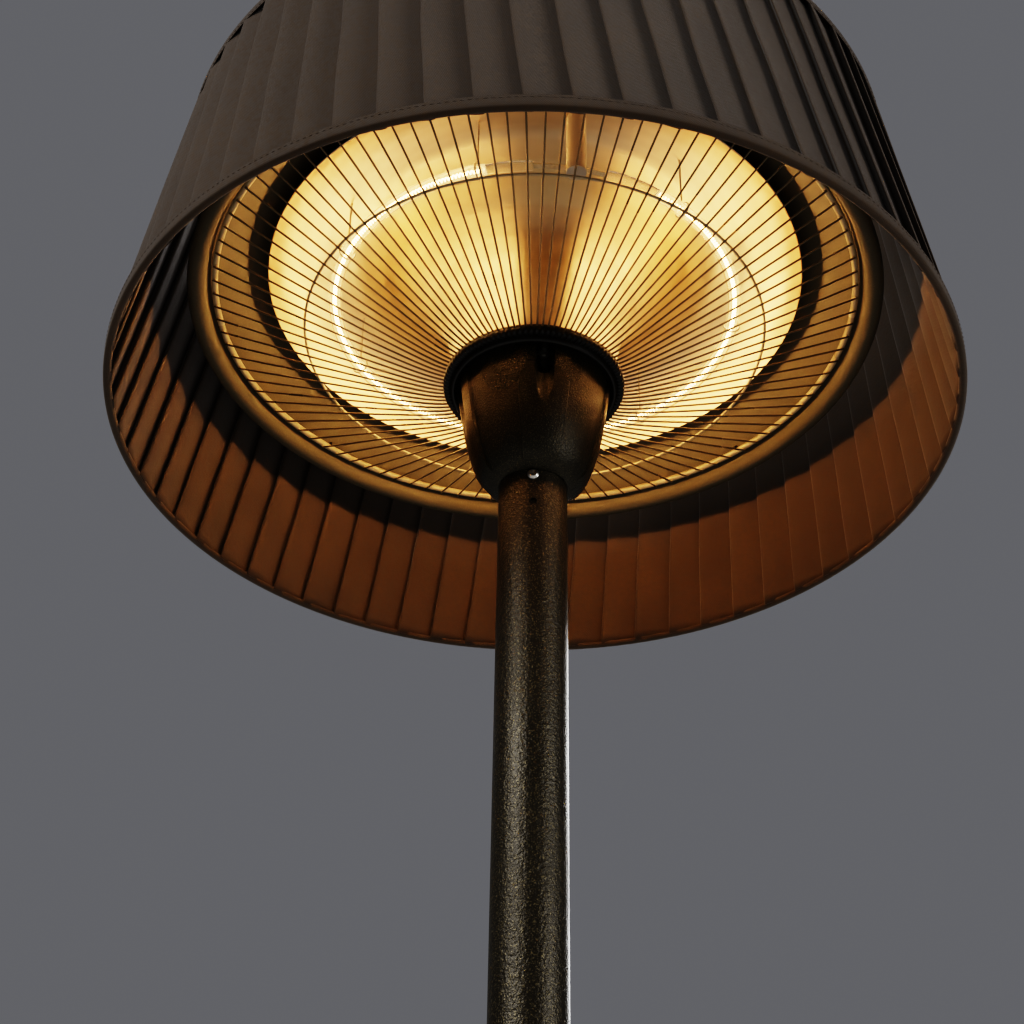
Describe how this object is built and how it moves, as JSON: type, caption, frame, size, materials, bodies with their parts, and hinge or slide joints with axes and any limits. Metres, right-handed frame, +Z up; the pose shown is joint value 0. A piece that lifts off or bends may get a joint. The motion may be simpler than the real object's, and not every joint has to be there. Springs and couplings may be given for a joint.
{
  "type": "standing patio heater",
  "caption": "Floor-lamp-shaped outdoor heater: round weighted base, slim pole, ring lamp under a reflector, radial wire guard and pleated shade.",
  "frame": {"origin": "centre of the heater's footprint on the floor, on the pole's axis", "axes": "+Z up along the pole; -Y is the front, where the foot switch and the lamp ring's gap are; +X to the right seen from the front"},
  "size_m": [0.609, 0.6088, 2.109],
  "materials": {
    "rubber": "moulded, matt",
    "base_paint": "fine-textured dark bronze powder coat",
    "pole_paint": "hammered dark bronze powder coat",
    "cast_concrete": "as cast, hidden under the cover",
    "zinc_steel": "bright zinc plated",
    "black_plastic": "fine moulded grain",
    "button_plastic": "worn satin",
    "white_plastic": "moulded",
    "red_plastic": "moulded",
    "lead_rubber": "rubber sheath",
    "guard_paint": "heat-proof black enamel, satin",
    "reflector_aluminium": "spun and polished, concentric lines",
    "hood_metal": "dark bronze heat-proof paint",
    "quartz": "clear fused quartz",
    "filament": "glowing tungsten coil",
    "seal_quartz": "pinched quartz",
    "lead_metal": "nickel, heat tinted",
    "ceramic": "unglazed steatite",
    "sleeve_fibre": "braided glass-fibre sleeve",
    "shade_wire": "black enamel",
    "shade_cloth": "knife-pleated outdoor polyester, dark brown"
  },
  "bodies": {
    "stand": {"rubber_feet": "rubber", "base_plate": "base_paint", "base_weight": "cast_concrete", "base_cover": "base_paint", "pole_socket": "pole_paint", "socket_bolts": "zinc_steel", "socket_nuts": "zinc_steel", "socket_screws": "zinc_steel", "foot_switch_body": "black_plastic", "foot_switch_spring": "zinc_steel", "tilt_switch_body": "white_plastic", "tilt_plunger_spring": "zinc_steel", "cable_gland": "black_plastic", "gland_nut": "black_plastic", "lower_pole": "pole_paint", "middle_pole": "pole_paint", "upper_pole": "pole_paint", "lower_joint_sleeve": "zinc_steel", "upper_joint_sleeve": "zinc_steel", "joint_screws": "zinc_steel", "pole_top_screw": "zinc_steel", "supply_lead": "lead_rubber", "head_stem": "zinc_steel", "hub_cup": "pole_paint", "cup_screws": "zinc_steel", "hub_flange": "guard_paint", "guard_wires": "guard_paint", "guard_mid_ring": "guard_paint", "guard_outer_ring": "guard_paint", "reflector": "reflector_aluminium", "reflector_spacers": "zinc_steel", "guard_studs": "guard_paint", "hood": "hood_metal", "lamp_tube": "quartz", "lamp_filament": "filament", "lamp_end_seals": "seal_quartz", "lamp_lead_strips": "lead_metal", "lamp_holder": "ceramic", "lamp_clips": "lead_metal", "lamp_leads": "sleeve_fibre", "junction_box": "base_paint", "junction_box_lid": "base_paint", "lid_screws": "zinc_steel", "terminal_block": "white_plastic", "thermal_cutout": "zinc_steel", "stem_nut": "zinc_steel", "shade_stud": "zinc_steel", "stud_nut": "zinc_steel", "shade_spider": "shade_wire", "shade_top_ring": "shade_wire", "shade_bottom_ring": "shade_wire", "shade_fabric": "shade_cloth", "shade_finial": "pole_paint"},
    "foot_button": {"foot_switch_button": "button_plastic"},
    "tip_plunger": {"tilt_plunger": "red_plastic"}
  },
  "joints": [
    {"name": "foot_switch_press", "type": "slide", "parent": "stand", "child": "foot_button", "axis": [0, 0, -1], "range_m": [0, 0.004], "stiffness_N_per_m": 600, "springref_m": -0.003, "deforming": ["foot_switch_spring"]},
    {"name": "tip_plunger_drop", "type": "slide", "parent": "stand", "child": "tip_plunger", "axis": [0, 0, -1], "range_m": [0, 0.005], "stiffness_N_per_m": 120, "springref_m": 0.01, "deforming": ["tilt_plunger_spring"]}
  ]
}
